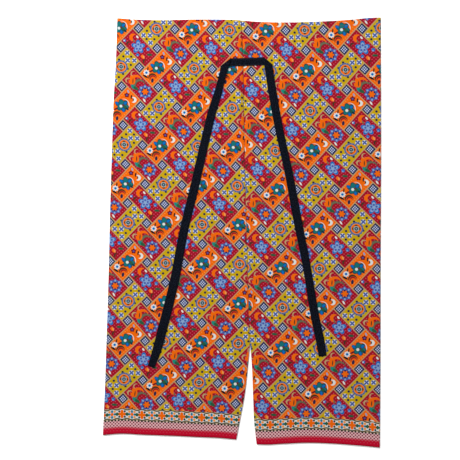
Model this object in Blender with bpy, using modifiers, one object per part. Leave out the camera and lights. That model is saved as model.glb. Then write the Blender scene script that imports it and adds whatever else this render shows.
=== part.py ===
"""Thai fisherman pants laid flat, back up, with the waist tie spread over them.

Metres, +Z up. +X is to the right and +Y towards the waist, seen from above. The origin is
the middle of the garment on the surface that it lies on. Each leg is one piece of cloth,
folded at its outer side, so its back lies over its front. The two legs meet at the centre
back and centre front seams, down to the crotch. The tie is one strip of cloth: its middle is
sewn across the centre back seam, and its two ends are folded down over it.
"""

from collections import namedtuple
from math import cos, hypot, pi, radians, sin

import bmesh
import bpy
import numpy as np

# Driving sizes
WAIST_Y = 0.4943  # the waist line, before its sag and its raised corners
LEG_LENGTH = 0.9750  # from the waist line to the hem line
RISE = 0.7500  # from the waist line to the crotch
CLOTH = 0.0010  # wall of each layer of cloth
SEAM_GAP = 0.0003  # between two pieces that are sewn together
LAYER_AIR = 0.0006  # between the back and the front where they lie closest
FOLD_AIR = 0.0011  # between them beside the folded outer edge
UNDER_INSET = 0.0015  # how far the front's edges stay inside the back's

# The band along the centre seam, raised by the seam allowance inside, with the stitched line
# sunk in its middle
SEAM_SWELL = 0.0011
SEAM_SWELL_WIDTH = 0.016
SEAM_LINE_WIDTH = 0.0030

TIE_WIDTH = 0.0195
TIE_CLOTH = 0.0015  # the strip's cloth is doubled
TIE_GAP = 0.0004  # between the tie and the cloth under it
MITRE_GAP = 0.0006  # between the tie's middle and the two folds

# Places across the garment by the distance down from the waist line: the outer edges, the
# centre seam as far as the crotch, and the inseams below it
Place = namedtuple("Place", "drop x")
LEFT_OUTER = (
    Place(0.000, -0.2897),
    Place(0.095, -0.2930),
    Place(0.190, -0.2985),
    Place(0.290, -0.3020),
    Place(0.440, -0.3065),
    Place(0.620, -0.3108),
    Place(0.750, -0.3150),
    Place(0.875, -0.3190),
    Place(0.975, -0.3232),
)
RIGHT_OUTER = (
    Place(0.000, 0.3232),
    Place(0.290, 0.3230),
    Place(0.620, 0.3228),
    Place(0.800, 0.3224),
    Place(0.975, 0.3212),
)
CENTRE_SEAM = (
    Place(0.000, -0.0006),
    Place(0.095, 0.0034),
    Place(0.190, 0.0052),
    Place(0.290, 0.0063),
    Place(0.440, 0.0099),
    Place(0.620, 0.0146),
    Place(0.750, 0.0192),
)
LEFT_INSEAM = (
    Place(0.750, 0.0192),
    Place(0.800, 0.0148),
    Place(0.875, 0.0062),
    Place(0.925, -0.0032),
    Place(0.975, -0.0128),
)
RIGHT_INSEAM = (
    Place(0.750, 0.0192),
    Place(0.800, 0.0232),
    Place(0.875, 0.0264),
    Place(0.925, 0.0288),
    Place(0.975, 0.0345),
)

# How far below its straight line the waist or hem edge lies, by its place across the garment
Sag = namedtuple("Sag", "x down")
WAIST_SAG = (
    Sag(-0.290, -0.0044),
    Sag(-0.255, -0.0018),
    Sag(-0.210, 0.0000),
    Sag(-0.100, -0.0014),
    Sag(-0.030, -0.0008),
    Sag(0.050, 0.0046),
    Sag(0.110, 0.0054),
    Sag(0.190, 0.0030),
    Sag(0.250, -0.0006),
    Sag(0.300, -0.0052),
    Sag(0.323, -0.0060),
)
LEFT_HEM_SAG = (
    Sag(-0.323, -0.0092),
    Sag(-0.282, -0.0124),
    Sag(-0.230, -0.0100),
    Sag(-0.160, -0.0075),
    Sag(-0.100, -0.0045),
    Sag(-0.050, -0.0024),
    Sag(-0.013, 0.0012),
)
RIGHT_HEM_SAG = (
    Sag(0.034, 0.0124),
    Sag(0.060, 0.0130),
    Sag(0.100, 0.0108),
    Sag(0.150, 0.0088),
    Sag(0.200, 0.0100),
    Sag(0.260, 0.0140),
    Sag(0.300, 0.0176),
    Sag(0.323, 0.0200),
)
WAIST_SAG_REACH = 0.30  # how far down a leg the waist's sag is felt, and the hem's up it
HEM_SAG_REACH = 0.22

# Soft ridges in the back of the garment. The heading is from +X towards +Y, and the width is
# from the crest to where the ridge has nearly sunk.
Ridge = namedtuple("Ridge", "x y heading length width height")
RIDGES = (
    Ridge(-0.215, 0.330, 78, 0.30, 0.045, 0.0013),
    Ridge(-0.120, 0.180, 96, 0.34, 0.050, 0.0011),
    Ridge(-0.235, -0.060, 84, 0.36, 0.050, 0.0012),
    Ridge(-0.075, -0.120, 104, 0.28, 0.045, 0.0010),
    Ridge(-0.170, -0.350, 88, 0.22, 0.045, 0.0013),
    Ridge(-0.040, -0.390, 82, 0.16, 0.036, 0.0010),
    Ridge(-0.008, 0.315, 92, 0.11, 0.011, 0.0011),
    Ridge(0.130, 0.380, 108, 0.24, 0.050, 0.0012),
    Ridge(0.235, 0.210, 86, 0.34, 0.050, 0.0013),
    Ridge(0.085, 0.060, 98, 0.34, 0.048, 0.0010),
    Ridge(0.215, -0.120, 80, 0.34, 0.050, 0.0013),
    Ridge(0.105, -0.300, 94, 0.26, 0.045, 0.0011),
    Ridge(0.245, -0.380, 100, 0.22, 0.045, 0.0014),
)

# The tie: the two ends of its sewn middle, then each loose end's middle line, with its width
Tie = namedtuple("Tie", "x y width")
MIDDLE_LEFT = (-0.0367, 0.3960)
MIDDLE_RIGHT = (0.0600, 0.3985)
LEFT_END = (
    Tie(-0.0367, 0.3960, 0.0150),
    Tie(-0.0440, 0.3690, 0.0160),
    Tie(-0.0548, 0.3271, 0.0175),
    Tie(-0.0693, 0.2805, 0.0195),
    Tie(-0.0828, 0.2246, 0.0195),
    Tie(-0.1084, 0.1129, 0.0200),
    Tie(-0.1354, 0.0012, 0.0200),
    Tie(-0.1563, -0.1106, 0.0210),
    Tie(-0.1840, -0.2223, 0.0215),
    Tie(-0.1990, -0.2782, 0.0205),
    Tie(-0.2105, -0.3125, 0.0190),
)
RIGHT_END = (
    Tie(0.0600, 0.3985, 0.0180),
    Tie(0.0646, 0.3690, 0.0185),
    Tie(0.0744, 0.3085, 0.0190),
    Tie(0.0844, 0.2526, 0.0185),
    Tie(0.1086, 0.1408, 0.0185),
    Tie(0.1296, 0.0291, 0.0195),
    Tie(0.1517, -0.0826, 0.0185),
    Tie(0.1701, -0.1944, 0.0195),
    Tie(0.1852, -0.2689, 0.0190),
    Tie(0.1880, -0.2875, 0.0180),
)
FOLD_SQUARING = 0.045  # along a loose end, until its sections stand square to it
FOLD_STACK = 0.028  # along a loose end, while it still lies on the tie's middle
FOLD_DESCENT = 0.030  # then until it has come down to the pants

# Mesh steps
ROWS_ABOVE_CROTCH = 30
ROWS_BELOW_CROTCH = 11
BESIDE_SEAM = (0.0, 0.0022, 0.0055, 0.0105, 0.0190)  # stations by the inner edge
BACK_STEPS = 12
FRONT_STEPS = 7
FOLD_STEPS = 4
TIE_STEP = 0.014
TIE_ACROSS = 4


def smooth(at, knots, values):
    """A cubic through the values at the knots, with slopes from their neighbours."""
    knots, values = np.asarray(knots), np.asarray(values)
    slopes = np.gradient(values, knots)
    at = np.clip(at, knots[0], knots[-1])
    k = np.clip(np.searchsorted(knots, at) - 1, 0, len(knots) - 2)
    span = knots[k + 1] - knots[k]
    t = (at - knots[k]) / span
    rise = values[k + 1] - values[k]
    bend = slopes[k] * span * (1 - t) - slopes[k + 1] * span * t + rise * (2 * t - 1)
    return values[k] + rise * t + t * (1 - t) * bend


def eased(t):
    """0 below 0, 1 above 1, and a smooth step between."""
    t = np.clip(t, 0, 1)
    return t * t * (3 - 2 * t)


def column(table, name):
    return [getattr(row, name) for row in table]


def place_at(table, drop):
    return smooth(drop, column(table, "drop"), column(table, "x"))


def inner_at(inseam, drop):
    """The inner edge of a leg: the centre seam as far as the crotch, then the inseam."""
    return place_at(CENTRE_SEAM if drop <= RISE else inseam, drop)


def drop_to_y(x, drop, hem_sag):
    """The place along the garment of a point that lies drop below the straight waist line."""
    waist = smooth(x, column(WAIST_SAG, "x"), column(WAIST_SAG, "down"))
    hem = smooth(x, column(hem_sag, "x"), column(hem_sag, "down"))
    near_waist = 1 - eased(drop / WAIST_SAG_REACH)
    near_hem = 1 - eased((LEG_LENGTH - drop) / HEM_SAG_REACH)
    return WAIST_Y - drop - waist * near_waist - hem * near_hem


def ridge_height(x, y):
    """The height of all the soft ridges at a point: each is a bell across its crest that
    fades out towards both its ends."""
    height = 0.0
    for ridge in RIDGES:
        heading = radians(ridge.heading)
        along = (x - ridge.x) * cos(heading) + (y - ridge.y) * sin(heading)
        across = (y - ridge.y) * cos(heading) - (x - ridge.x) * sin(heading)
        bell = np.exp(-((2 * across / ridge.width) ** 2))
        height = height + ridge.height * bell * np.exp(-((2 * along / ridge.length) ** 2))
    return height


def seam_height(x, y, sunk=True):
    """The raised band along the centre back seam, with its stitched line sunk unless a piece
    that bridges it asks for the band alone."""
    drop = WAIST_Y - y
    off = x - place_at(CENTRE_SEAM, drop)
    band = np.exp(-((off / SEAM_SWELL_WIDTH) ** 2))
    line = np.exp(-((off / SEAM_LINE_WIDTH) ** 2)) if sunk else 0.0
    above_crotch = 1 - eased((drop - RISE + 0.06) / 0.05)
    return SEAM_SWELL * (band - line) * above_crotch


def back_top(x, y, sunk=True):
    """The height of the back's upper face."""
    return 2 * CLOTH + LAYER_AIR + ridge_height(x, y) + seam_height(x, y, sunk)


def leg_points(outer_edge, inseam, hem_sag, side):
    """The outer face of a leg, rows from the hem to the waist. Its columns go from the inner
    edge of the back, over the fold at the outer edge, to the inner edge of the front. side is
    1 where the outer edge lies at +X and -1 where it lies at -X."""
    above = np.linspace(0, RISE, ROWS_ABOVE_CROTCH + 1)
    below = np.linspace(RISE, LEG_LENGTH, ROWS_BELOW_CROTCH + 1)
    rows = []
    for drop in np.concatenate([above, below[1:]])[::-1]:
        inner = inner_at(inseam, drop) + side * SEAM_GAP / 2
        outer = place_at(outer_edge, drop)
        fold_height = 2 * CLOTH + FOLD_AIR
        turn = outer - side * fold_height / 2  # the middle of the fold's round
        by_seam = inner + side * np.array(BESIDE_SEAM)
        back_x = np.concatenate([by_seam, np.linspace(by_seam[-1], turn, BACK_STEPS + 1)[1:]])
        back_y = drop_to_y(back_x, drop, hem_sag)
        near_fold = np.exp(-((back_x - turn) / 0.02) ** 2)
        back_z = back_top(back_x, back_y) * (1 - near_fold) + fold_height * near_fold

        angles = np.linspace(pi / 2, -pi / 2, FOLD_STEPS + 1)[1:-1]
        fold_x = turn + side * fold_height / 2 * np.cos(angles)
        fold_y = drop_to_y(turn, drop, hem_sag) + 0 * fold_x
        fold_z = fold_height / 2 * (1 + np.sin(angles))

        front_x = np.linspace(turn, inner, FRONT_STEPS + 1)
        inset = UNDER_INSET * (2 * drop / LEG_LENGTH - 1)
        front_y = drop_to_y(front_x, drop, hem_sag) + inset
        front_z = 0 * front_x

        rows.append(
            np.stack(
                [
                    np.concatenate([back_x, fold_x, front_x]),
                    np.concatenate([back_y, fold_y, front_y]),
                    np.concatenate([back_z, fold_z, front_z]),
                ],
                axis=1,
            )
        )
    return np.array(rows)[:, ::side]


def cloth(name, points, wall, offset, material):
    """A closed wall on a grid of points: a grid primitive whose vertices are moved to the
    points, thickened by Solidify. With offset -1 the points are the wall's outer face, with 0
    its middle."""
    rows, columns = points.shape[:2]
    shape = bmesh.new()
    bmesh.ops.create_grid(shape, x_segments=columns - 1, y_segments=rows - 1, size=1)
    for vert in shape.verts:
        row = round((vert.co.y + 1) / 2 * (rows - 1))
        place = round((vert.co.x + 1) / 2 * (columns - 1))
        vert.co = points[row, place]
    mesh = bpy.data.meshes.new(name)
    shape.to_mesh(mesh)
    shape.free()
    mesh.shade_smooth()
    piece = bpy.data.objects.new(name, mesh)
    piece.data.materials.append(material)
    garment.objects.link(piece)
    thicken = piece.modifiers.new("Cloth thickness", "SOLIDIFY")
    thicken.thickness = wall
    thicken.offset = offset
    thicken.use_even_offset = True
    return piece


def finish(name, colour, roughness):
    """A woven cloth of one colour."""
    material = bpy.data.materials.new(name)
    material.use_nodes = True
    surface = material.node_tree.nodes["Principled BSDF"]
    surface.inputs["Base Color"].default_value = (*colour, 1)
    surface.inputs["Roughness"].default_value = roughness
    surface.inputs["Metallic"].default_value = 0
    return material


def fold_line(toward, onward):
    """The unit direction of the fold where a strip that comes along toward is turned over to
    go along onward: halfway between the two."""
    line = toward + onward
    return line / np.linalg.norm(line)


def strip_middle(x, y):
    """The height of the middle of the tie's cloth where it lies on the pants."""
    return back_top(x, y, sunk=False) + TIE_GAP + TIE_CLOTH / 2


def across_steps():
    return np.linspace(-0.5, 0.5, TIE_ACROSS + 1)


def heading_of(start, end):
    away = np.array(end) - np.array(start)
    return away / np.linalg.norm(away)


def loose_end_points(table, middle_heading, side):
    """A loose end of the tie, from the fold at the tie's middle to its free end. Its first
    rows go round the fold, and its sections turn from the fold line to square on the strip.
    side is 1 for the end that leaves to +X."""
    points = np.array([(row.x, row.y) for row in table])
    lengths = np.concatenate([[0], np.cumsum(np.hypot(*np.diff(points, axis=0).T))])
    steps = round(lengths[-1] / TIE_STEP)
    along = lengths[-1] * np.linspace(0, 1, steps + 1)
    middle = np.stack([smooth(along, lengths, points[:, k]) for k in (0, 1)], axis=1)
    width = smooth(along, lengths, column(table, "width"))
    ahead = np.gradient(middle, along, axis=0)
    ahead /= np.linalg.norm(ahead, axis=1)[:, None]
    square = np.stack([-ahead[:, 1], ahead[:, 0]], axis=1)
    crease = side * fold_line(middle_heading, ahead[0])
    turned = eased(along / FOLD_SQUARING)[:, None]
    section = crease * (1 - turned) + square * turned
    section /= np.linalg.norm(section, axis=1)[:, None]
    reach = width / np.abs((section * square).sum(axis=1))
    flat = middle[:, None] + section[:, None] * (reach[:, None] * across_steps())[..., None]
    stack = (TIE_CLOTH + TIE_GAP) * (1 - eased((along - FOLD_STACK) / FOLD_DESCENT))
    height = strip_middle(flat[..., 0], flat[..., 1]) + stack[:, None]
    lying = np.concatenate([flat, height[..., None]], axis=2)

    bend = (TIE_CLOTH + TIE_GAP) / 2
    outward = np.array([-crease[1], crease[0]])
    outward = outward * np.sign(outward @ middle_heading)
    round_fold = []
    for angle in np.linspace(-pi / 2, pi / 2, 6)[:-1]:
        row = lying[0].copy()
        row[:, :2] += outward * bend * cos(angle)
        row[:, 2] += bend * (sin(angle) - 1)
        round_fold.append(row)
    return np.concatenate([round_fold, lying])


def tie_middle_points(left_line, right_line):
    """The tie's sewn middle, flat on the back, mitred along both fold lines."""
    start, end = np.array(MIDDLE_LEFT), np.array(MIDDLE_RIGHT)
    heading = heading_of(start, end)
    square = np.array([-heading[1], heading[0]])
    length = hypot(*(end - start))
    steps = round(length / TIE_STEP * 1.5)
    across = TIE_WIDTH * across_steps()
    slant_left = (left_line @ heading) / (left_line @ square)
    slant_right = (right_line @ heading) / (right_line @ square)
    rows = []
    for share in np.linspace(0, 1, steps + 1):
        low = MITRE_GAP + across * slant_left
        high = length - MITRE_GAP + across * slant_right
        along = low * (1 - share) + high * share
        flat = start + along[:, None] * heading + across[:, None] * square
        height = strip_middle(flat[:, 0], flat[:, 1])
        rows.append(np.concatenate([flat, height[:, None]], axis=1))
    return np.array(rows)[:, ::-1]


def build_legs(print_cloth):
    left = leg_points(LEFT_OUTER, LEFT_INSEAM, LEFT_HEM_SAG, -1)
    right = leg_points(RIGHT_OUTER, RIGHT_INSEAM, RIGHT_HEM_SAG, 1)
    cloth("left_leg", left, CLOTH, -1, print_cloth)
    cloth("right_leg", right, CLOTH, -1, print_cloth)


def build_tie(tie_cloth):
    to_right = heading_of(MIDDLE_LEFT, MIDDLE_RIGHT)
    left = loose_end_points(LEFT_END, -to_right, -1)
    right = loose_end_points(RIGHT_END, to_right, 1)
    left_line = left[5, -1, :2] - left[5, 0, :2]
    right_line = right[5, -1, :2] - right[5, 0, :2]
    cloth("tie_middle", tie_middle_points(left_line, right_line), TIE_CLOTH, 0, tie_cloth)
    cloth("tie_left_end", left, TIE_CLOTH, 0, tie_cloth)
    cloth("tie_right_end", right, TIE_CLOTH, 0, tie_cloth)


for old in list(bpy.data.objects):
    bpy.data.objects.remove(old)
garment = bpy.data.collections.new("Thai fisherman pants")
bpy.context.scene.collection.children.link(garment)
build_legs(finish("Printed cotton", (0.62, 0.16, 0.07), 0.85))
build_tie(finish("Black cotton", (0.012, 0.013, 0.018), 0.9))
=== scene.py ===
"""Thai fisherman pants laid flat, back up, on a pale floor, seen from straight above."""

from collections import namedtuple
from math import cos, radians, sin

import bpy
import numpy as np
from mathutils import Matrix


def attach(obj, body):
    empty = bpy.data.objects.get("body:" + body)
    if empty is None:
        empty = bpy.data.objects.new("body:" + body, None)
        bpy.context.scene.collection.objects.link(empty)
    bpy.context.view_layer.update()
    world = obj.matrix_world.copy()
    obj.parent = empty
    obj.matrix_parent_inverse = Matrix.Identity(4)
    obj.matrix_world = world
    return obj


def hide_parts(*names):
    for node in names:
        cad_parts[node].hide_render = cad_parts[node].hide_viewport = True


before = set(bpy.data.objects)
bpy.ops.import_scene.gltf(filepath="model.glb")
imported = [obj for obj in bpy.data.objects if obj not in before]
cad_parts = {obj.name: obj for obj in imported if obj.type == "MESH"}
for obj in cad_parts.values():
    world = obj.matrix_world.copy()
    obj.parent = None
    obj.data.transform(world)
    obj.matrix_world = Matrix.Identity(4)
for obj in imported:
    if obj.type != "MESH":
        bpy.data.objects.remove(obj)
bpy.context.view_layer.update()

# The view: a long lens straight above, which sees the garment as the flat lay shows it. One
# pixel of the 460 in the frame covers 2.328 mm of cloth.
PIXEL = 0.002328
FRAME_PIXELS = 460
FRAME_CENTRE = (-0.0274, 0.0058)
CAMERA_HEIGHT = 4.0
SENSOR_MM = 36

lens = bpy.data.cameras.new("flat_lay_camera")
lens.sensor_width = SENSOR_MM
lens.lens = SENSOR_MM * CAMERA_HEIGHT / (PIXEL * FRAME_PIXELS)
camera = bpy.data.objects.new("flat_lay_camera", lens)
camera.location = (*FRAME_CENTRE, CAMERA_HEIGHT)
bpy.context.scene.collection.objects.link(camera)
bpy.context.scene.camera = camera
bpy.context.scene.view_settings.view_transform = "Standard"

# The light: one wide soft box up to the left of the waist, a weaker one opposite, and pale
# surroundings. The white floor is a matt sheet.
FLOOR_SIZE = 8
FLOOR_DROP = 0.0002
SURROUNDINGS = 0.6


def soft_box(name, place, size, watts):
    """A square area light that faces the middle of the garment."""
    light = bpy.data.lights.new(name, "AREA")
    light.size = size
    light.energy = watts
    lamp = bpy.data.objects.new(name, light)
    lamp.location = place
    away = np.array(place) / np.linalg.norm(place)
    lamp.rotation_euler = (np.arccos(away[2]), 0, np.arctan2(away[0], -away[1]))
    bpy.context.scene.collection.objects.link(lamp)


soft_box("key_light", (-1.3, 1.5, 1.9), 1.0, 105)
soft_box("fill_light", (1.8, -1.2, 2.6), 1.6, 10)

world = bpy.data.worlds.new("studio")
world.use_nodes = True
world.node_tree.nodes["Background"].inputs["Color"].default_value = (1, 1, 1, 1)
world.node_tree.nodes["Background"].inputs["Strength"].default_value = SURROUNDINGS
bpy.context.scene.world = world

floor_mesh = bpy.data.meshes.new("floor")
half = FLOOR_SIZE / 2
floor_mesh.from_pydata(
    [(x, y, -FLOOR_DROP) for x, y in ((-half, -half), (half, -half), (half, half), (-half, half))],
    [],
    [(0, 1, 2, 3)],
)
floor = bpy.data.objects.new("floor", floor_mesh)
bpy.context.scene.collection.objects.link(floor)
floor_finish = bpy.data.materials.new("white_floor")
floor_finish.use_nodes = True
floor_surface = floor_finish.node_tree.nodes["Principled BSDF"]
floor_surface.inputs["Base Color"].default_value = (0.96, 0.96, 0.96, 1)
floor_surface.inputs["Roughness"].default_value = 1
floor_surface.inputs["Specular IOR Level"].default_value = 0
floor.data.materials.append(floor_finish)


# The print: bright cotton with a patchwork of two-to-one oblong tiles that lie aslant in both
# directions, with a small dark square at each gap, and a banded border along the hem. It is
# roller-printed on plain-weave cotton, so it is all one dye layer and has no relief.
TILE_STEP = 84.3  # mm from one tile to the next across the cloth
ROW_STEP = 91.0  # mm from one row of tiles to the next in the same direction
SQUASH = TILE_STEP / ROW_STEP  # brings a row's height to the width's scale
TILE_LONG = 38.6  # half the length of a tile, and half its width
TILE_SHORT = 19.3
SPECKLE_STEP = 8.6  # between the small dots of the tiles' grounds
DARK_SQUARE = 11.8  # from the middle of a small square to its corner
BLUR = 0.35  # how far the dyes run into each other

CRIMSON = (170, 8, 34)
SCARLET = (206, 0, 42)
ROSE = (216, 84, 104)
CREAM = (200, 162, 114)
WHITE = (238, 234, 228)
NAVY = (34, 40, 74)
PERIWINKLE = (70, 92, 168)
PALE_BLUE = (146, 172, 212)
GREY_BLUE = (108, 122, 150)
BLUE = (0, 112, 192)
TEAL = (24, 114, 116)
DEEP_TEAL = (14, 56, 66)
ORANGE = (256, 108, 0)
PEACH = (255, 158, 74)
MUSTARD = (212, 170, 8)
OLIVE = (112, 108, 84)
LEAF = (44, 92, 62)
MAROON = (116, 16, 34)
BARK = (74, 52, 34)
INK = (26, 22, 22)
LIGHT_ON_CLOTH = (1.95, 1.84, 1.80)  # how much brighter than its dye the light shows the cloth


def dye(colour):
    """A printed colour as the eye sees it, 0 to 255, made the linear colour of the dye."""
    shown = np.array(colour) / 255
    linear = np.where(shown < 0.04045, shown / 12.92, ((shown + 0.055) / 1.055) ** 2.4)
    return (*(linear / LIGHT_ON_CLOTH), 1)


class Number:
    """A number that a material works out at each point. Python's signs on it add nodes."""

    def __init__(self, tree, socket):
        self.tree, self.socket = tree, socket

    def by(self, operation, *others):
        node = self.tree.nodes.new("ShaderNodeMath")
        node.operation = operation
        for slot, value in enumerate((self, *others)):
            if isinstance(value, Number):
                self.tree.links.new(value.socket, node.inputs[slot])
            else:
                node.inputs[slot].default_value = value
        return Number(self.tree, node.outputs[0])

    def __add__(self, other):
        return self.by("ADD", other)

    def __sub__(self, other):
        return self.by("SUBTRACT", other)

    def __mul__(self, other):
        return self.by("MULTIPLY", other)

    def __abs__(self):
        return self.by("ABSOLUTE")

    def flipped(self):
        """One minus the number."""
        return self.by("MULTIPLY_ADD", -1, 1)

    def wrapped(self, step):
        """The number taken round to between minus half a step and half a step."""
        return self.by("WRAP", step / 2, -step / 2)

    def below(self, limit, blur=BLUR):
        """1 where the number is below the limit and 0 above, with a soft edge."""
        node = self.tree.nodes.new("ShaderNodeMapRange")
        node.interpolation_type = "SMOOTHSTEP"
        self.tree.links.new(self.socket, node.inputs["Value"])
        node.inputs["From Min"].default_value = limit - blur
        node.inputs["From Max"].default_value = limit + blur
        node.inputs["To Min"].default_value = 1
        node.inputs["To Max"].default_value = 0
        return Number(self.tree, node.outputs["Result"])


class Place:
    """A place on the cloth, in millimetres from the middle of a tile."""

    def __init__(self, across, down):
        self.tree = across.tree
        join = self.tree.nodes.new("ShaderNodeCombineXYZ")
        self.tree.links.new(across.socket, join.inputs["X"])
        self.tree.links.new(down.socket, join.inputs["Y"])
        self.socket = join.outputs["Vector"]

    def distance(self, x, y):
        node = self.tree.nodes.new("ShaderNodeVectorMath")
        node.operation = "DISTANCE"
        self.tree.links.new(self.socket, node.inputs[0])
        node.inputs[1].default_value = (x, y, 0)
        return Number(self.tree, node.outputs["Value"])

    def turned(self, x, y, turn, long, wide):
        """The place measured from a motif's middle, along its own length and width, in
        shares of its reach. The turn is from across towards down, in degrees."""
        node = self.tree.nodes.new("ShaderNodeMapping")
        node.vector_type = "TEXTURE"
        self.tree.links.new(self.socket, node.inputs["Vector"])
        node.inputs["Location"].default_value = (x, y, 0)
        node.inputs["Rotation"].default_value = (0, 0, radians(turn))
        node.inputs["Scale"].default_value = (long, wide, 1)
        return node.outputs["Vector"]

    def disc(self, x, y, radius):
        return self.distance(x, y).below(radius)

    def petal(self, x, y, turn, long, wide):
        """An oval motif, long and wide from its middle to its edge."""
        node = self.tree.nodes.new("ShaderNodeVectorMath")
        node.operation = "LENGTH"
        self.tree.links.new(self.turned(x, y, turn, long, wide), node.inputs[0])
        return Number(self.tree, node.outputs["Value"]).below(1, BLUR / wide)

    def crescent(self, x, y, radius, bite_x, bite_y, bite):
        """A disc with the bite of another disc out of it."""
        return self.disc(x, y, radius) * self.distance(bite_x, bite_y).below(bite).flipped()

    def ring(self, x, y, radius, width):
        return abs(self.distance(x, y) - radius).below(width / 2)

    def flower(self, x, y, radius, petals, depth, turn=0):
        """A round flower: its edge swings between the radius and the radius less its depth,
        as the cosine of the angle times half the number of petals, made positive."""
        split = self.tree.nodes.new("ShaderNodeSeparateXYZ")
        self.tree.links.new(self.turned(x, y, turn, radius, radius), split.inputs[0])
        east, south = (Number(self.tree, split.outputs[k]) for k in ("X", "Y"))
        swing = abs((south.by("ARCTAN2", east) * (petals / 2)).by("COSINE"))
        reach = (east * east + south * south).by("SQRT")
        edge = swing.by("MULTIPLY_ADD", depth / radius, 1 - depth / radius)
        return (reach - edge).below(0, BLUR / radius)


class Dyes:
    """The dyes on the cloth, one over the other."""

    def __init__(self, tree, colour):
        base = tree.nodes.new("ShaderNodeRGB")
        base.outputs[0].default_value = dye(colour)
        self.tree, self.socket = tree, base.outputs[0]

    def stamp(self, mask, colour):
        """Lays a colour, or other dyes, where the mask is 1."""
        mix = self.tree.nodes.new("ShaderNodeMix")
        mix.data_type = "RGBA"
        self.tree.links.new(mask.socket, mix.inputs["Factor"])
        self.tree.links.new(self.socket, mix.inputs[6])
        if isinstance(colour, Dyes):
            self.tree.links.new(colour.socket, mix.inputs[7])
        else:
            mix.inputs[7].default_value = dye(colour)
        self.socket = mix.outputs[2]


def mustard_tile(place, mirrored):
    """A ringed medallion between two clusters of crosslets. The clusters are the same after
    half a turn, so they are drawn once, on the mirrored place."""
    tile = Dyes(place.tree, MUSTARD)
    for x, y in ((5.8, -24.4), (23.9, -24.4), (22.6, -5.0), (15.1, 4.4), (-4.3, -16.5)):
        tile.stamp(mirrored.disc(x, y, 2.7), NAVY)
    tile.stamp(place.flower(0, 0, 16.2, 16, 2.0), GREY_BLUE)
    tile.stamp(place.flower(0, 0, 15.0, 16, 3.0), PERIWINKLE)
    tile.stamp(place.disc(0, 0, 12.0), CREAM)
    tile.stamp(place.disc(0, 0, 10.8), ORANGE)
    tile.stamp(place.flower(0, 0, 9.2, 4, 4.6), BARK)
    tile.stamp(place.disc(0, 0, 6.2), (184, 184, 174))
    tile.stamp(place.flower(0, 0, 4.8, 8, 1.6), DEEP_TEAL)
    tile.stamp(place.disc(0, 0, 1.6), PALE_BLUE)
    for x, y in ((15.0, -33.0), (15.8, -15.6), (30.8, -15.6)):
        tile.stamp(mirrored.disc(x, y, 5.6), WHITE)
        tile.stamp(mirrored.flower(x, y, 6.2, 4, 4.6, 45), PERIWINKLE)
    return tile


def orange_tile(place, ground):
    """A teal and blue rosette with a daisy, a small red flower, crescents and dark sprigs."""
    tile = Dyes(place.tree, ORANGE)
    tile.stamp(ground, PEACH)
    tile.stamp(place.crescent(-12.4, 22.6, 9.6, -11.4, 25.6, 8.4), BARK)
    tile.stamp(place.crescent(-11.6, 24.4, 6.8, -11.0, 26.8, 5.8), CRIMSON)
    tile.stamp(place.petal(-12.9, 30.0, 100, 5.2, 3.0), NAVY)
    tile.stamp(place.petal(-14.2, 7.6, 150, 6.4, 2.0), MAROON)
    tile.stamp(place.crescent(3.6, -3.0, 13.2, 2.0, -2.6, 13.0), WHITE)
    tile.stamp(place.flower(0.4, -0.6, 15.6, 6, 4.2, 15), DEEP_TEAL)
    tile.stamp(place.flower(0.4, -0.6, 13.6, 6, 3.8, 15), TEAL)
    tile.stamp(place.petal(6.4, 3.2, 40, 6.4, 3.4), LEAF)
    for x, y, turn in ((7.4, -6.4, -40), (2.4, 9.8, 80), (-11.8, -5.4, 30)):
        tile.stamp(place.petal(x, y, turn, 5.4, 3.8), NAVY)
        tile.stamp(place.petal(x, y, turn, 4.4, 2.9), BLUE)
    tile.stamp(place.petal(11.0, 7.2, 30, 4.0, 2.4), DEEP_TEAL)
    tile.stamp(place.disc(1.8, -1.2, 2.2), MAROON)
    tile.stamp(place.disc(-3.0, 1.0, 3.2), WHITE)
    tile.stamp(place.petal(-28.6, 20.6, 32, 6.6, 2.3), INK)
    tile.stamp(place.petal(-22.6, 2.8, 100, 4.6, 1.7), BARK)
    tile.stamp(place.flower(-26.2, 12.0, 7.2, 8, 2.4), WHITE)
    tile.stamp(place.disc(-26.2, 12.0, 3.0), BLUE)
    tile.stamp(place.flower(11.5, -25.2, 6.0, 5, 2.0, -90), MAROON)
    tile.stamp(place.disc(11.5, -25.2, 2.1), PERIWINKLE)
    tile.stamp(place.petal(14.8, -33.8, 75, 3.6, 1.8), PALE_BLUE)
    tile.stamp(place.petal(21.9, -21.2, 100, 5.0, 1.8), INK)
    tile.stamp(place.crescent(26.6, -14.6, 6.8, 22.4, -14.8, 5.2), WHITE)
    tile.stamp(place.petal(26.0, -15.0, 90, 2.8, 1.4), DEEP_TEAL)
    return tile


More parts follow.
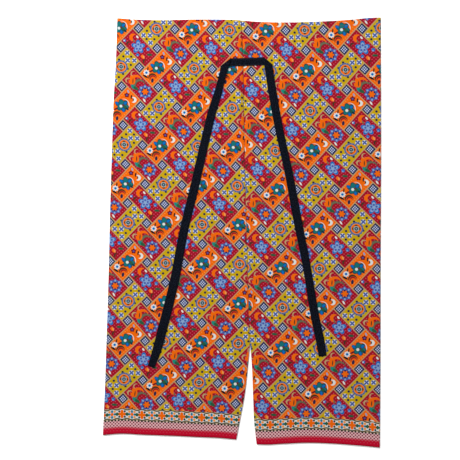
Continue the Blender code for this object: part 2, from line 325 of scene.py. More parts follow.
def star_tile(place, ground):
    """A blue star flower on crimson, with an orange petal, berries and leaves."""
    tile = Dyes(place.tree, CRIMSON)
    tile.stamp(ground, ROSE)
    tile.stamp(place.crescent(-12.6, -24.2, 9.0, -6.8, -23.2, 7.2), ORANGE)
    tile.stamp(place.crescent(-23.8, -9.4, 5.2, -21.4, -7.4, 4.2), BARK)
    tile.stamp(place.petal(-11.5, -16.4, 60, 4.0, 1.5), OLIVE)
    tile.stamp(place.petal(-3.0, -25.4, 55, 3.6, 2.0), WHITE)
    tile.stamp(place.disc(-32.6, -16.2, 3.3), BLUE)
    tile.stamp(place.disc(-33.8, -16.2, 1.6), WHITE)
    tile.stamp(place.flower(-1.4, -2.4, 16.4, 5, 8.4, -90), BLUE)
    tile.stamp(place.flower(-1.4, -2.4, 12.4, 5, 6.8, -90), PALE_BLUE)
    tile.stamp(place.flower(-1.4, -2.4, 8.4, 5, 4.6, -90), PERIWINKLE)
    tile.stamp(place.flower(-1.4, -2.4, 5.0, 5, 2.4, 90), PALE_BLUE)
    tile.stamp(place.disc(21.2, 2.6, 4.1), BLUE)
    tile.stamp(place.disc(20.2, 4.2, 1.8), PALE_BLUE)
    tile.stamp(place.disc(-3.4, 16.4, 3.6), BLUE)
    tile.stamp(place.disc(-3.6, 18.4, 1.6), PALE_BLUE)
    tile.stamp(place.petal(24.2, 15.4, 5, 6.2, 2.7), LEAF)
    tile.stamp(place.petal(7.6, 20.4, 75, 4.6, 3.0), ORANGE)
    tile.stamp(place.petal(10.4, 21.2, 75, 4.0, 2.0), PEACH)
    tile.stamp(place.crescent(13.2, 31.4, 5.2, 15.8, 32.4, 4.2), BARK)
    return tile


def spray_tile(place, ground):
    """A periwinkle flower on crimson, with a spray of orange petals on a bent stem."""
    tile = Dyes(place.tree, CRIMSON)
    tile.stamp(ground, ROSE)
    tile.stamp(place.crescent(-0.6, -5.0, 13.8, 1.8, -2.2, 10.6), BARK)
    tile.stamp(place.crescent(-0.6, -5.0, 13.0, 1.6, -2.4, 11.2), OLIVE)
    tile.stamp(place.petal(-16.6, -16.4, 82, 11.4, 6.2), ORANGE)
    tile.stamp(place.crescent(-8.0, -16.2, 11.8, -6.0, -12.0, 10.2), ORANGE)
    tile.stamp(place.petal(-22.0, -10.0, 60, 5.4, 3.0), ORANGE)
    tile.stamp(place.petal(-15.6, -13.4, 95, 6.0, 1.2), BARK)
    tile.stamp(place.crescent(-14.4, -30.4, 6.2, -12.4, -29.6, 5.8), CREAM)
    tile.stamp(place.crescent(-27.2, -14.6, 6.2, -25.0, -13.0, 5.2), CREAM)
    tile.stamp(place.petal(-15.2, 0.6, 50, 6.6, 4.2), (30, 140, 124))
    tile.stamp(place.petal(-9.4, 3.8, 35, 6.2, 3.6), LEAF)
    tile.stamp(place.flower(11.8, 11.2, 16.8, 8, 7.6), PERIWINKLE)
    tile.stamp(place.flower(11.8, 11.2, 14.8, 8, 8.4), PALE_BLUE)
    tile.stamp(place.flower(11.8, 11.2, 14.4, 8, 6.6, 22.5), PERIWINKLE)
    tile.stamp(place.flower(11.8, 11.2, 9.6, 8, 2.6), NAVY)
    tile.stamp(place.flower(11.8, 11.2, 8.0, 6, 4.2), ORANGE)
    tile.stamp(place.petal(9.1, 31.3, 60, 4.6, 1.9), WHITE)
    return tile


def speckle(x, y):
    """Small dots on a slanting lattice, where a cosine across times a cosine down is high."""
    waves = (x * (2 * np.pi / SPECKLE_STEP)).by("COSINE")
    waves = waves * (y * (2 * np.pi / SPECKLE_STEP / SQUASH)).by("COSINE")
    return waves.below(0.62, 0.2).flipped()


def patchwork(across, down):
    """The tiles' dyes at a place on the flat cloth. Two sets of tiles share the cloth, each
    folded to its own middle: one leans up to the right, one down to the right. The two kinds
    of each set take turns, as the squares of a chequerboard do."""
    tree = across.tree

    def folded(start_across, start_down):
        x, y = across - start_across, down - start_down
        near_x, near_y = x.wrapped(TILE_STEP), y.wrapped(ROW_STEP)
        turn = (x - near_x) * (1 / TILE_STEP) + (y - near_y) * (1 / ROW_STEP)
        return near_x, near_y, abs((turn * 0.5).wrapped(1)).below(0.25, 0.1)

    def in_tile(x, y):
        level = y * SQUASH
        along = abs(x - level) * (0.5**0.5)
        aside = abs(x + level) * (0.5**0.5)
        return along, aside

    rising_x, rising_y, rising_even = folded(0, ROW_STEP / 2)
    falling_x, falling_y, falling_even = folded(TILE_STEP / 2, 0)
    rising = Place(rising_x, rising_y)
    falling = Place(falling_x, falling_y)
    half_turn = (rising_x - rising_y).by("SIGN")
    mirrored = Place(rising_x * half_turn, rising_y * half_turn)

    aside, along = in_tile(falling_x, falling_y)
    falling_tile = (along - TILE_LONG).by("MAXIMUM", aside - TILE_SHORT)
    ground = speckle(falling_x, falling_y)
    cloth = Dyes(tree, CREAM)
    crimson_tiles = spray_tile(falling, ground)
    crimson_tiles.socket, other = crimson_tiles.socket, star_tile(falling, ground)
    crimson_tiles.stamp(falling_even.flipped(), other)
    cloth.stamp(falling_tile.below(0), crimson_tiles)

    along, aside = in_tile(rising_x, rising_y)
    rising_tile = (along - TILE_LONG).by("MAXIMUM", aside - TILE_SHORT)
    bright_tiles = mustard_tile(rising, mirrored)
    ground = speckle(rising_x, rising_y) * rising_tile.below(-7, 1).flipped()
    bright_tiles.stamp(rising_even, orange_tile(rising, ground))
    cloth.stamp(rising_tile.below(0), bright_tiles)

    level = abs(rising_y * SQUASH)
    beside = abs(abs(rising_x) - TILE_STEP / 2) + level
    above = abs(rising_x) + abs(level - TILE_STEP / 2)
    square = beside.by("MINIMUM", above)
    cloth.stamp(square.below(DARK_SQUARE + 1.3), CREAM)
    cloth.stamp(square.below(DARK_SQUARE), NAVY)
    cloth.stamp(square.below(DARK_SQUARE - 3.2), PERIWINKLE)
    lattice = (across * (2 * np.pi / 5.6)).by("COSINE")
    lattice = lattice * (down * (2 * np.pi / 6.07)).by("COSINE")
    cloth.stamp(square.below(DARK_SQUARE - 3.0) * lattice.below(0.3, 0.2).flipped(), WHITE)
    cloth.stamp(square.below(DARK_SQUARE - 3.0) * lattice.below(-0.4, 0.2), NAVY)
    return cloth


BORDER_TOP = 59.0  # mm above the hem
BORDER_STEP = 22.9  # mm from flower to flower
BAND_MIDDLE = 46.0  # the height of the flowers' middles
BEAD_ROW = 31.4
LATTICE_BOTTOM = 18.0


def border(across, height):
    """The hem's border: plain crimson with fading dots, a pink and cream lattice, a row of
    black beads, and a white band of flowers between two scalloped lines."""
    tree = across.tree
    beads = BORDER_STEP / 3
    band = Dyes(tree, SCARLET)
    place = Place(across.wrapped(beads), height)
    between = Place((across - beads / 2).wrapped(beads), height)
    band.stamp(between.disc(0, 8.0, 0.9), ROSE)
    band.stamp(place.disc(0, 13.0, 1.5), ROSE)
    lattice = (across * (2 * np.pi / beads)).by("COSINE")
    lattice = lattice * ((height - BEAD_ROW) * (2 * np.pi / beads)).by("COSINE")
    in_lattice = height.below(LATTICE_BOTTOM - 2, 3).flipped()
    band.stamp(in_lattice, (206, 70, 100))
    band.stamp(in_lattice * lattice.below(0.1, 0.1), (246, 192, 192))
    band.stamp(in_lattice * lattice.below(0.35, 0.2).flipped(), (96, 0, 30))

    middle = abs(height - BAND_MIDDLE)
    scallop = (across * (2 * np.pi / BORDER_STEP)).by("COSINE") * 1.4
    edge = middle - scallop
    flowers = Dyes(tree, WHITE)
    bold = Place(across.wrapped(2 * BORDER_STEP), height)
    fine = Place((across - BORDER_STEP).wrapped(2 * BORDER_STEP), height)
    for x, y in ((6.3, 6.3), (-6.3, 6.3), (6.3, -6.3), (-6.3, -6.3)):
        flowers.stamp(bold.disc(x, BAND_MIDDLE + y, 2.4), DEEP_TEAL)
        flowers.stamp(fine.disc(x * 0.94, BAND_MIDDLE + y * 0.94, 2.9), PEACH)
    flowers.stamp(bold.flower(0, BAND_MIDDLE, 10.0, 4, 5.6), ORANGE)
    flowers.stamp(fine.disc(0, BAND_MIDDLE, 3.8), ORANGE)
    for x, y, turn in ((6.7, 0, 0), (-6.7, 0, 0), (0, 6.7, 90), (0, -6.7, 90)):
        flowers.stamp(fine.petal(x, BAND_MIDDLE + y, turn, 3.4, 2.7), (8, 130, 166))
    gap = abs((across - BORDER_STEP / 2).wrapped(BORDER_STEP)) + middle
    flowers.stamp(gap.below(5.0), LEAF)
    band.stamp(height.below(BEAD_ROW).flipped(), (214, 190, 160))
    band.stamp(edge.below(12.8), (98, 84, 52))
    band.stamp(edge.below(9.7), flowers)
    band.stamp(place.disc(0, BEAD_ROW, 2.3), INK)
    return band


# The cloth: soft plain-weave cotton, matt, with the print above on its face.
WEAVE = 0.00045  # m from yarn to yarn


def woven(material, coordinates, depth):
    """Puts the bump of a plain weave, and of slight slubs, on a material's surface. The
    yarns' crowns are a sine across times a sine along."""
    tree = material.node_tree
    surface = tree.nodes["Principled BSDF"]
    split = tree.nodes.new("ShaderNodeSeparateXYZ")
    tree.links.new(coordinates, split.inputs[0])
    warp, weft = (Number(tree, split.outputs[k]) for k in ("X", "Y"))
    crowns = (warp * (np.pi / WEAVE)).by("SINE") * (weft * (np.pi / WEAVE)).by("SINE")
    slubs_and_sheen = tree.nodes.new("ShaderNodeTexNoise")
    slubs_and_sheen.inputs["Scale"].default_value = 420
    slubs_and_sheen.inputs["Detail"].default_value = 3
    tree.links.new(coordinates, slubs_and_sheen.inputs["Vector"])
    bump = tree.nodes.new("ShaderNodeBump")
    bump.inputs["Strength"].default_value = 0.35
    bump.inputs["Distance"].default_value = depth
    height = crowns * 0.4 + Number(tree, slubs_and_sheen.outputs["Fac"])
    tree.links.new(height.socket, bump.inputs["Height"])
    tree.links.new(bump.outputs["Normal"], surface.inputs["Normal"])
    surface.inputs["Specular IOR Level"].default_value = 0.05
    surface.inputs["Sheen Weight"].default_value = 0.02
    surface.inputs["Sheen Roughness"].default_value = 0.6
    # The same noise is handed back, and the tie uses it both for its slubs and as the mask of its
    # painted sheen.
    return slubs_and_sheen.outputs["Fac"]


def uv_numbers(tree, layer):
    """The two coordinates of a piece's own map, in millimetres."""
    source = tree.nodes.new("ShaderNodeUVMap")
    source.uv_map = layer
    split = tree.nodes.new("ShaderNodeSeparateXYZ")
    tree.links.new(source.outputs["UV"], split.inputs[0])
    return [Number(tree, split.outputs[k]) * 1000 for k in ("X", "Y")], source.outputs["UV"]


def new_finish(name, roughness):
    material = bpy.data.materials.new(name)
    material.use_nodes = True
    material.node_tree.nodes["Principled BSDF"].inputs["Roughness"].default_value = roughness
    return material


def printed_cotton():
    material = new_finish("printed_cotton", 0.86)
    tree = material.node_tree
    (across, down), map_socket = uv_numbers(tree, "print")
    (hem_across, hem_height), _ = uv_numbers(tree, "hem")
    dyes = patchwork(across, down)
    dyes.stamp(hem_height.below(BORDER_TOP), border(hem_across, hem_height))
    woven(material, map_socket, 0.0002)
    tree.links.new(dyes.socket, tree.nodes["Principled BSDF"].inputs["Base Color"])
    return material


def cloth_wrong_side():
    """The unprinted side, where the dyes show through pale and uneven."""
    material = new_finish("cotton_wrong_side", 0.9)
    tree = material.node_tree
    source = tree.nodes.new("ShaderNodeUVMap")
    source.uv_map = "print"
    woven(material, source.outputs["UV"], 0.0002)
    patches = tree.nodes.new("ShaderNodeTexNoise")
    patches.inputs["Scale"].default_value = 30
    tree.links.new(source.outputs["UV"], patches.inputs["Vector"])
    dyes = Dyes(tree, (206, 140, 118))
    dyes.stamp(Number(tree, patches.outputs["Fac"]).below(0.5, 0.1), (196, 160, 110))
    tree.links.new(dyes.socket, tree.nodes["Principled BSDF"].inputs["Base Color"])
    return material


# The legs: each is one panel of the printed cotton, folded at its outer side, sewn to the
# other at the centre back and front down to the crotch, and sewn to itself along the inseam
# below. Its back lies over its front. The waist and hem edges are turned in and stitched.
WAIST_Y = 0.4943
LEG_LENGTH = 0.9750
RISE = 0.7500
CLOTH = 0.0010
SEAM_GAP = 0.0003
LAYER_AIR = 0.0006
FOLD_AIR = 0.0011
UNDER_INSET = 0.0015
SEAM_SWELL = 0.0011
SEAM_SWELL_WIDTH = 0.016
SEAM_LINE_WIDTH = 0.0030
WAIST_SAG_REACH = 0.30
HEM_SAG_REACH = 0.22
COTTON = 0.0005  # the real cloth's wall
TURN_IN = 0.014  # how wide the turned-in hem is
TURN_STEP = 0.0002  # how far its extra layers lift the cloth

At = namedtuple("At", "drop x")
LEFT_OUTER = (
    At(0.000, -0.2897),
    At(0.095, -0.2930),
    At(0.190, -0.2985),
    At(0.290, -0.3020),
    At(0.440, -0.3065),
    At(0.620, -0.3108),
    At(0.750, -0.3150),
    At(0.875, -0.3190),
    At(0.975, -0.3232),
)
RIGHT_OUTER = (
    At(0.000, 0.3232),
    At(0.290, 0.3240),
    At(0.620, 0.3228),
    At(0.800, 0.3224),
    At(0.975, 0.3212),
)
CENTRE_SEAM = (
    At(0.000, -0.0006),
    At(0.095, 0.0034),
    At(0.190, 0.0052),
    At(0.290, 0.0063),
    At(0.440, 0.0099),
    At(0.620, 0.0146),
    At(0.750, 0.0192),
)
LEFT_INSEAM = (
    At(0.750, 0.0192),
    At(0.800, 0.0148),
    At(0.875, 0.0062),
    At(0.925, -0.0032),
    At(0.975, -0.0128),
)
RIGHT_INSEAM = (
    At(0.750, 0.0192),
    At(0.800, 0.0232),
    At(0.875, 0.0264),
    At(0.925, 0.0288),
    At(0.975, 0.0345),
)

Sag = namedtuple("Sag", "x down")
WAIST_SAG = (
    Sag(-0.290, -0.0044),
    Sag(-0.255, -0.0018),
    Sag(-0.210, 0.0000),
    Sag(-0.100, -0.0014),
    Sag(-0.030, -0.0008),
    Sag(0.050, 0.0046),
    Sag(0.110, 0.0054),
    Sag(0.190, 0.0030),
    Sag(0.250, -0.0006),
    Sag(0.300, -0.0052),
    Sag(0.323, -0.0060),
)
LEFT_HEM_SAG = (
    Sag(-0.323, -0.0092),
    Sag(-0.282, -0.0124),
    Sag(-0.230, -0.0100),
    Sag(-0.160, -0.0075),
    Sag(-0.100, -0.0045),
    Sag(-0.050, -0.0024),
    Sag(-0.013, 0.0012),
)
RIGHT_HEM_SAG = (
    Sag(0.034, 0.0124),
    Sag(0.060, 0.0130),
    Sag(0.100, 0.0108),
    Sag(0.150, 0.0088),
    Sag(0.200, 0.0100),
    Sag(0.260, 0.0140),
    Sag(0.300, 0.0176),
    Sag(0.323, 0.0200),
)

# How the print lies on each back, where the cloth has skewed off its grain: the print's own
# across and down at the garment's middle line, and 0.3 m out from it
Lay = namedtuple("Lay", "drop middle_across outer_across middle_down outer_down")
LEFT_LAY = (
    Lay(-0.02, 0.1989, -0.1006, -0.0894, -0.0832),
    Lay(0.22, 0.1900, -0.1067, 0.1515, 0.1580),
    Lay(0.44, 0.1761, -0.1184, 0.3725, 0.3794),
    Lay(0.66, 0.1739, -0.1191, 0.5919, 0.5989),
    Lay(0.88, 0.1817, -0.1066, 0.8064, 0.8196),
    Lay(1.00, 0.1865, -0.0995, 0.9230, 0.9400),
)
RIGHT_LAY = (
    Lay(-0.02, -0.0534, 0.2314, -0.1809, -0.1746),
    Lay(0.22, -0.0714, 0.2174, 0.0522, 0.0572),
    Lay(0.44, -0.0845, 0.2021, 0.2725, 0.2743),
    Lay(0.66, -0.0920, 0.1944, 0.4945, 0.4882),
    Lay(0.88, -0.0895, 0.1933, 0.7079, 0.7027),
    Lay(1.00, -0.0878, 0.1928, 0.8243, 0.8200),
)

# Soft ridges in the back, and the smaller creases between them. The heading is from +X
# towards +Y, and the width is from the crest to where it has nearly sunk.
Ridge = namedtuple("Ridge", "x y heading length width height")
RIDGES = (
    Ridge(-0.215, 0.330, 78, 0.30, 0.045, 0.0013),
    Ridge(-0.120, 0.180, 96, 0.34, 0.050, 0.0011),
    Ridge(-0.235, -0.060, 84, 0.36, 0.050, 0.0012),
    Ridge(-0.075, -0.120, 104, 0.28, 0.045, 0.0010),
    Ridge(-0.170, -0.350, 88, 0.22, 0.045, 0.0013),
    Ridge(-0.040, -0.390, 82, 0.16, 0.036, 0.0010),
    Ridge(-0.008, 0.315, 92, 0.11, 0.011, 0.0011),
    Ridge(0.130, 0.380, 108, 0.24, 0.050, 0.0012),
    Ridge(0.235, 0.210, 86, 0.34, 0.050, 0.0013),
    Ridge(0.085, 0.060, 98, 0.34, 0.048, 0.0010),
    Ridge(0.215, -0.120, 80, 0.34, 0.050, 0.0013),
    Ridge(0.105, -0.300, 94, 0.26, 0.045, 0.0011),
    Ridge(0.245, -0.380, 100, 0.22, 0.045, 0.0014),
)
CREASES = (
    Ridge(0.076, 0.397, 8, 0.045, 0.009, 0.0016),
    Ridge(0.078, 0.384, -14, 0.040, 0.008, 0.0012),
    Ridge(0.088, 0.418, 64, 0.07, 0.014, 0.0006),
    Ridge(0.0050, 0.330, 90, 0.16, 0.011, -0.0014),
    Ridge(-0.0080, 0.320, 91, 0.12, 0.016, 0.0014),
    Ridge(0.0030, 0.445, 91, 0.10, 0.011, -0.0012),
    Ridge(0.012, 0.420, 84, 0.08, 0.012, 0.0007),
    Ridge(-0.140, 0.440, 70, 0.12, 0.018, 0.0008),
    Ridge(-0.255, 0.190, 100, 0.16, 0.020, 0.0008),
    Ridge(-0.070, 0.040, 80, 0.14, 0.016, 0.0008),
    Ridge(-0.185, -0.190, 66, 0.15, 0.020, 0.0008),
    Ridge(-0.100, -0.300, 108, 0.14, 0.018, 0.0009),
    Ridge(-0.255, -0.380, 96, 0.12, 0.016, 0.0009),
    Ridge(0.180, 0.330, 76, 0.15, 0.018, 0.0008),
    Ridge(0.270, 0.060, 94, 0.17, 0.020, 0.0008),
    Ridge(0.060, -0.090, 84, 0.15, 0.017, 0.0008),
    Ridge(0.160, -0.210, 100, 0.14, 0.018, 0.0009),
    Ridge(0.070, -0.400, 86, 0.11, 0.014, 0.0009),
    Ridge(0.290, -0.250, 82, 0.16, 0.018, 0.0008),
)

Panel = namedtuple("Panel", "name side outer inseam hem_sag lay bow border_start border_stretch")
PANELS = (
    Panel(
        name="left_leg",
        side=-1,
        outer=LEFT_OUTER,
        inseam=LEFT_INSEAM,
        hem_sag=LEFT_HEM_SAG,
        lay=LEFT_LAY,
        bow=(-0.0002, -0.0045),
        border_start=-0.2786,
        border_stretch=1.011,
    ),
    Panel(
        name="right_leg",
        side=1,
        outer=RIGHT_OUTER,
        inseam=RIGHT_INSEAM,
        hem_sag=RIGHT_HEM_SAG,
        lay=RIGHT_LAY,
        bow=(0.0075, -0.0036),
        border_start=0.0662,
        border_stretch=1.039,
    ),
)


def smooth(at, knots, values):
    """A cubic through the values at the knots, with slopes from their neighbours."""
    knots, values = np.asarray(knots), np.asarray(values)
    slopes = np.gradient(values, knots)
    at = np.clip(at, knots[0], knots[-1])
    k = np.clip(np.searchsorted(knots, at) - 1, 0, len(knots) - 2)
    span = knots[k + 1] - knots[k]
    t = (at - knots[k]) / span
    rise = values[k + 1] - values[k]
    bend = slopes[k] * span * (1 - t) - slopes[k + 1] * span * t + rise * (2 * t - 1)
    return values[k] + rise * t + t * (1 - t) * bend


def eased(t):
    """0 below 0, 1 above 1, and a smooth step between."""
    t = np.clip(t, 0, 1)
    return t * t * (3 - 2 * t)


def column(table, name):
    return [getattr(row, name) for row in table]


def table_at(table, name, by, at):
    return smooth(at, column(table, by), column(table, name))


def place_at(table, drop):
    return table_at(table, "x", "drop", drop)


def sag_at(table, x):
    return table_at(table, "down", "x", x)


def drop_to_y(x, drop, hem_sag):
    """The place along the garment of a point that lies drop below the straight waist line."""
    near_waist = 1 - eased(drop / WAIST_SAG_REACH)
    near_hem = 1 - eased((LEG_LENGTH - drop) / HEM_SAG_REACH)
    return WAIST_Y - drop - sag_at(WAIST_SAG, x) * near_waist - sag_at(hem_sag, x) * near_hem


def ridge_height(x, y, ridges):
    """The height of a set of ridges at a point: each is a bell across its crest that fades
    out towards both its ends."""
    height = 0.0
    for ridge in ridges:
        heading = radians(ridge.heading)
        along = (x - ridge.x) * cos(heading) + (y - ridge.y) * sin(heading)
        across = (y - ridge.y) * cos(heading) - (x - ridge.x) * sin(heading)
        bell = np.exp(-((2 * across / ridge.width) ** 2))
        height = height + ridge.height * bell * np.exp(-((2 * along / ridge.length) ** 2))
    return height


def seam_height(x, y, sunk=True):
    """The raised band along the centre back seam, with its stitched line sunk."""
    drop = WAIST_Y - y
    off = x - place_at(CENTRE_SEAM, drop)
    band = np.exp(-((off / SEAM_SWELL_WIDTH) ** 2))
    line = np.exp(-((off / SEAM_LINE_WIDTH) ** 2)) if sunk else 0.0
    above_crotch = 1 - eased((drop - RISE + 0.06) / 0.05)
    return SEAM_SWELL * (band - line) * above_crotch


def back_top(x, y, sunk=True):
    """The height of the back's upper face."""
    return 2 * CLOTH + LAYER_AIR + ridge_height(x, y, RIDGES) + seam_height(x, y, sunk)


def cloth_mesh(name, points, maps, materials, wall, offset):
    """A thin wall of cloth on a grid of points, with its own maps, finished by Solidify."""
    rows, columns = points.shape[:2]
    corner = np.arange(rows * columns).reshape(rows, columns)[:-1, :-1].ravel()
    quads = np.stack([corner, corner + 1, corner + columns + 1, corner + columns], axis=1)
    mesh = bpy.data.meshes.new(name)
    mesh.from_pydata(points.reshape(-1, 3), [], quads)
    for layer, coordinates in maps.items():
        uv = mesh.uv_layers.new(name=layer)
        uv.data.foreach_set("uv", coordinates.reshape(-1, 2)[quads.ravel()].ravel())
    mesh.shade_smooth()
    piece = bpy.data.objects.new(name, mesh)
    bpy.context.scene.collection.objects.link(piece)
    for material in materials:
        piece.data.materials.append(material)
    thicken = piece.modifiers.new("Cloth thickness", "SOLIDIFY")
    thicken.thickness = wall
    thicken.offset = offset
    thicken.use_even_offset = True
    thicken.material_offset = len(materials) - 1
    return piece


ROWS = 250
SEAM_BAND = 0.020
SEAM_STEPS, BACK_STEPS, FOLD_STEPS, FRONT_STEPS = 12, 62, 8, 26


def leg_surface(panel):
    """The outer face of a leg, in rows from the hem to the waist. Each row goes over the back
    from the inner edge, round the fold at the outer edge as half a circle, and back under
    along the front. Returns the points, the print's map and the border's map."""
    side = panel.side
    drop = np.linspace(LEG_LENGTH, 0, ROWS)[:, None]
    seam, inseam = place_at(CENTRE_SEAM, drop), place_at(panel.inseam, drop)
    inner = np.where(drop <= RISE, seam, inseam) + side * SEAM_GAP / 2
    outer = place_at(panel.outer, drop)
    fold_height = 2 * CLOTH + FOLD_AIR
    turn = outer - side * fold_height / 2

    by_seam = inner + side * np.linspace(0, SEAM_BAND, SEAM_STEPS + 1)
    share = np.linspace(0, 1, BACK_STEPS + 1)[1:]
    back_x = np.concatenate([by_seam, by_seam[:, -1:] * (1 - share) + turn * share], axis=1)
    back_y = drop_to_y(back_x, drop, panel.hem_sag)
    hem_y = drop_to_y(back_x, LEG_LENGTH, panel.hem_sag)
    waist_y = drop_to_y(back_x, 0, panel.hem_sag)
    near_edge = 1 - eased(np.minimum(back_y - hem_y, waist_y - back_y) / TURN_IN * 6 - 5)
    near_fold = np.exp(-(((back_x - turn) / 0.02) ** 2))
    lie = back_top(back_x, back_y) + ridge_height(back_x, back_y, CREASES)
    back_z = (lie + TURN_STEP * near_edge) * (1 - near_fold) + fold_height * near_fold

    angle = np.linspace(np.pi / 2, -np.pi / 2, FOLD_STEPS + 1)[1:-1]
    fold_x = turn + side * fold_height / 2 * np.cos(angle)
    fold_y = drop_to_y(turn, drop, panel.hem_sag) + 0 * fold_x
    fold_z = fold_height / 2 * (1 + np.sin(angle)) + 0 * fold_x

    share = np.linspace(0, 1, FRONT_STEPS + 1)
    front_x = turn * (1 - share) + inner * share
    inset = UNDER_INSET * (2 * drop / LEG_LENGTH - 1)
    front_y = drop_to_y(front_x, drop, panel.hem_sag) + inset

    points = np.stack(
        [
            np.concatenate([back_x, fold_x, front_x], axis=1),
            np.concatenate([back_y, fold_y, front_y], axis=1),
            np.concatenate([back_z, fold_z, 0 * front_x], axis=1),
        ],
        axis=2,
    )
    opened = np.concatenate([back_x, fold_x, 2 * outer - front_x], axis=1)
    out = side * opened / 0.3
    down = WAIST_Y - points[..., 1]
    spots = [
        table_at(panel.lay, f"middle_{name}", "drop", down) * (1 - out)
        + table_at(panel.lay, f"outer_{name}", "drop", down) * out
        + bow * out * (1 - out)
        for name, bow in zip(("across", "down"), panel.bow)
    ]
    print_map = np.stack(spots, axis=2)
    height = points[..., 1] - drop_to_y(points[..., 0], LEG_LENGTH, panel.hem_sag)
    hem_map = np.stack([(opened - panel.border_start) / panel.border_stretch, height], axis=2)
    return [grid[:, ::side] for grid in (points, print_map, hem_map)]


STITCH_STEP = 0.0032
STITCH = (0.0024, 0.0007, 0.0002)  # length, width and how far a stitch stands up
HEM_ROW = 0.0125  # from a leg's edge to its row of stitches
EDGE_ROOM = 0.004


def stitch_rows(name, paths, material):
    """Rows of stitches along paths on the cloth. Each stitch is a flat lozenge: two ends, two
    sides, a crown and a root, round a middle that steps evenly along its path."""
    corners, count = [], 0
    for path in paths:
        run = np.concatenate([[0], np.cumsum(np.linalg.norm(np.diff(path, axis=0), axis=1))])
        at = np.arange(STITCH_STEP / 2, run[-1], STITCH_STEP)
        middle = np.stack([np.interp(at, run, path[:, k]) for k in range(3)], axis=1)
        ahead = np.gradient(middle, axis=0)
        ahead /= np.linalg.norm(ahead, axis=1)[:, None]
        beside = np.stack([-ahead[:, 1], ahead[:, 0], 0 * at], axis=1)
        up = np.array([0, 0, 1.0])
        reach = [ahead * STITCH[0] / 2, beside * STITCH[1] / 2, up * STITCH[2] + 0 * middle]
        corners.append(np.stack([middle + sign * way for way in reach for sign in (1, -1)], axis=1))
        count += len(at)
    faces = np.array([(0, 2, 4), (2, 1, 4), (1, 3, 4), (3, 0, 4)])
    faces = np.concatenate([faces, faces[:, ::-1] + (faces[:, ::-1] == 4)])
    first = 6 * np.arange(count)[:, None, None]
    mesh = bpy.data.meshes.new(name)
    mesh.from_pydata(np.concatenate(corners).reshape(-1, 3), [], (first + faces).reshape(-1, 3))
    rows = bpy.data.objects.new(name, mesh)
    bpy.context.scene.collection.objects.link(rows)
    rows.data.materials.append(material)
    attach(rows, "root")


def thread(name, dark, light):
    """Twisted sewing thread, a little lighter where its strands catch the light."""
    material = new_finish(name, 0.7)
    tree = material.node_tree
    place = tree.nodes.new("ShaderNodeTexCoord")
    twist = tree.nodes.new("ShaderNodeTexNoise")
    twist.inputs["Scale"].default_value = 2500
    tree.links.new(place.outputs["Object"], twist.inputs["Vector"])
    dyes = Dyes(tree, dark)
    dyes.stamp(Number(tree, twist.outputs["Fac"]).below(0.5, 0.2), light)
    tree.links.new(dyes.socket, tree.nodes["Principled BSDF"].inputs["Base Color"])
    return material


def edge_row(panel, drop):
    """The path of a row of stitches across the back of a leg, beside its waist or hem."""
    seam = place_at(CENTRE_SEAM if drop < RISE else panel.inseam, drop)
    ends = seam + panel.side * EDGE_ROOM, place_at(panel.outer, drop) - panel.side * EDGE_ROOM
    x = np.linspace(*ends, 160)
    y = drop_to_y(x, drop, panel.hem_sag)
    z = back_top(x, y) + ridge_height(x, y, CREASES) + TURN_STEP
    return np.stack([x, y, z], axis=1)


cotton, wrong_side = printed_cotton(), cloth_wrong_side()
for panel in PANELS:
    points, print_map, hem_map = leg_surface(panel)
    maps = {"print": print_map, "hem": hem_map}
    name = f"{panel.name}_cotton"
    leg = cloth_mesh(name, points, maps, (cotton, wrong_side), COTTON, -1)
    width = abs(place_at(panel.outer, 0.5) - place_at(CENTRE_SEAM, 0.5))
    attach(leg, "root")
    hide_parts(panel.name)
    2 * width

rows = [edge_row(panel, drop) for panel in PANELS for drop in (HEM_ROW, LEG_LENGTH - HEM_ROW)]
stitch_rows("hem_stitches", rows, thread("red_thread", (150, 10, 30), (190, 40, 60)))


# The tie: one long strip of black cotton, doubled and stitched flat. Its middle is sewn
# across the centre back seam. Its ends are folded down over the back, each with a mitred
# corner that lies on the sewn middle.
TIE_WIDTH = 0.0195
TIE_CLOTH = 0.0013
TIE_WALL = 0.0015  # the room that the strip takes
TIE_GAP = 0.0004
FOLD_SQUARING = 0.045
FOLD_STACK = 0.028
FOLD_DESCENT = 0.030
TIE_STEP = 0.0035
TIE_ACROSS = 14

Tie = namedtuple("Tie", "x y width")
MIDDLE_LEFT = (-0.0367, 0.3950)
MIDDLE_RIGHT = (0.0600, 0.3985)
LEFT_END = (
    Tie(-0.0367, 0.3950, 0.0184),
    Tie(-0.0440, 0.3690, 0.0160),
    Tie(-0.0548, 0.3271, 0.0175),
    Tie(-0.0693, 0.2805, 0.0195),
    Tie(-0.0828, 0.2246, 0.0195),
    Tie(-0.1084, 0.1129, 0.0200),
    Tie(-0.1354, 0.0012, 0.0200),
    Tie(-0.1563, -0.1106, 0.0210),
    Tie(-0.1840, -0.2223, 0.0215),
    Tie(-0.1990, -0.2782, 0.0200),
    Tie(-0.2110, -0.3125, 0.0160),
)
RIGHT_END = (
    Tie(0.0600, 0.3985, 0.0180),
    Tie(0.0646, 0.3690, 0.0185),
    Tie(0.0744, 0.3085, 0.0190),
    Tie(0.0844, 0.2526, 0.0185),
    Tie(0.1086, 0.1408, 0.0185),
    Tie(0.1296, 0.0291, 0.0195),
    Tie(0.1517, -0.0826, 0.0185),
    Tie(0.1701, -0.1944, 0.0195),
    Tie(0.1852, -0.2689, 0.0190),
    Tie(0.1880, -0.2875, 0.0180),
)


def strip_middle(x, y):
    """The height of the middle of the tie's cloth where it lies on the pants."""
    return back_top(x, y, sunk=False) + TIE_GAP + TIE_WALL / 2


def heading_of(start, end):
    away = np.array(end) - np.array(start)
    return away / np.linalg.norm(away)


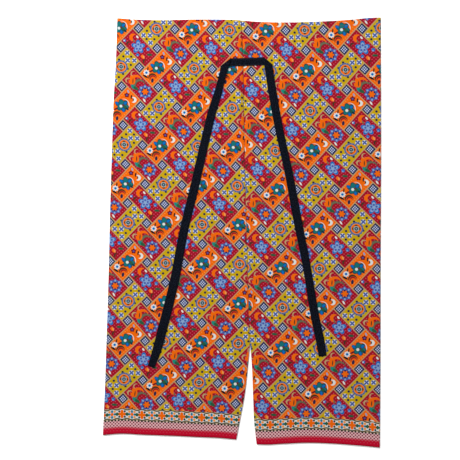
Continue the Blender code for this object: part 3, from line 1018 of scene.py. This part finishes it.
def loose_end(table, middle_heading, side):
    """A loose end of the tie, from its mitred fold to its free end. The first rows go round
    the fold as half a circle, and the sections turn from the fold line to square on."""
    points = np.array([(row.x, row.y) for row in table])
    lengths = np.concatenate([[0], np.cumsum(np.hypot(*np.diff(points, axis=0).T))])
    along = np.linspace(0, lengths[-1], round(lengths[-1] / TIE_STEP) + 1)
    middle = np.stack([smooth(along, lengths, points[:, k]) for k in (0, 1)], axis=1)
    width = smooth(along, lengths, column(table, "width"))
    ahead = np.gradient(middle, along, axis=0)
    ahead /= np.linalg.norm(ahead, axis=1)[:, None]
    square = np.stack([-ahead[:, 1], ahead[:, 0]], axis=1)
    halfway = middle_heading + ahead[0]
    crease = side * halfway / np.linalg.norm(halfway)
    turned = eased(along / FOLD_SQUARING)[:, None]
    section = crease * (1 - turned) + square * turned
    section /= np.linalg.norm(section, axis=1)[:, None]
    reach = width / np.abs((section * square).sum(axis=1))
    across = np.linspace(-0.5, 0.5, TIE_ACROSS + 1)
    flat = middle[:, None] + section[:, None] * (reach[:, None] * across)[..., None]
    stack = (TIE_WALL + TIE_GAP) * (1 - eased((along - FOLD_STACK) / FOLD_DESCENT))
    height = strip_middle(flat[..., 0], flat[..., 1]) + stack[:, None]
    lying = np.concatenate([flat, height[..., None]], axis=2)

    bend = (TIE_WALL + TIE_GAP) / 2
    outward = np.array([-crease[1], crease[0]])
    outward = outward * np.sign(outward @ middle_heading)
    angle = np.linspace(-np.pi / 2, np.pi / 2, 8)[:-1, None]
    fold = np.repeat(lying[:1], len(angle), axis=0)
    fold[..., :2] += (outward * bend * np.cos(angle))[:, None]
    fold[..., 2] += bend * (np.sin(angle) - 1)
    return np.concatenate([fold, lying])


def black_cotton():
    material = new_finish("black_cotton", 0.88)
    tree = material.node_tree
    source = tree.nodes.new("ShaderNodeUVMap")
    source.uv_map = "strip"
    slubs_and_sheen = woven(material, source.outputs["UV"], 0.0004)
    surface = tree.nodes["Principled BSDF"]
    surface.inputs["Specular IOR Level"].default_value = 0.03
    surface.inputs["Sheen Weight"].default_value = 0
    dyes = Dyes(tree, (4, 6, 12))
    # The lighter patches are partly the yarn's slubs and partly painted sheen: a lighter tone laid
    # where the black cloth would catch the light.
    dyes.stamp(Number(tree, slubs_and_sheen).below(0.47, 0.1), (30, 34, 48))
    tree.links.new(dyes.socket, tree.nodes["Principled BSDF"].inputs["Base Color"])
    return material


to_right = heading_of(MIDDLE_LEFT, MIDDLE_RIGHT)
left_rows = loose_end(LEFT_END, -to_right, -1)
right_rows = loose_end(RIGHT_END, to_right, 1)
share = np.linspace(0, 1, round(0.12 / TIE_STEP) + 1)[1:-1, None, None]
middle_rows = left_rows[0] * (1 - share) + right_rows[0, ::-1] * share
middle_rows[..., 2] = strip_middle(middle_rows[..., 0], middle_rows[..., 1])
tie_points = np.concatenate([left_rows[::-1], middle_rows, right_rows[:, ::-1]])

# The strip's own wrinkles: long soft streaks that drift across it
step = np.linalg.norm(np.diff(tie_points[:, TIE_ACROSS // 2], axis=0), axis=1)
run = np.concatenate([[0], np.cumsum(step)])[:, None]
spread = np.linspace(0, 1, TIE_ACROSS + 1) * TIE_WIDTH
drift = 0.0022 * np.sin(run / 0.031) + 0.0016 * np.sin(run / 0.053 + 1.3)
streaks = np.sin((spread + drift) * (2 * np.pi / 0.0052)) * np.sin(run / 0.017 + 2)
tie_points[..., 2] += 0.00012 * streaks
tie_map = np.stack([spread + 0 * run, run + 0 * spread], axis=2)
tie = cloth_mesh("waist_tie", tie_points, {"strip": tie_map}, (black_cotton(),), TIE_CLOTH, 0)
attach(tie, "root")
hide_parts("tie_middle", "tie_left_end", "tie_right_end")

# Two rows of stitches hold the tie's middle to the pants.
TIE_ROW = 0.0022
inward = TIE_ROW / TIE_WIDTH
edges = [middle_rows[:, 0] * (1 - share) + middle_rows[:, -1] * share for share in (inward, 1 - inward)]
for edge in edges:
    edge[:, 2] = strip_middle(edge[:, 0], edge[:, 1]) + TIE_CLOTH / 2 + STITCH[2]
stitch_rows("tie_stitches", edges, thread("black_thread", (16, 18, 26), (40, 44, 56)))
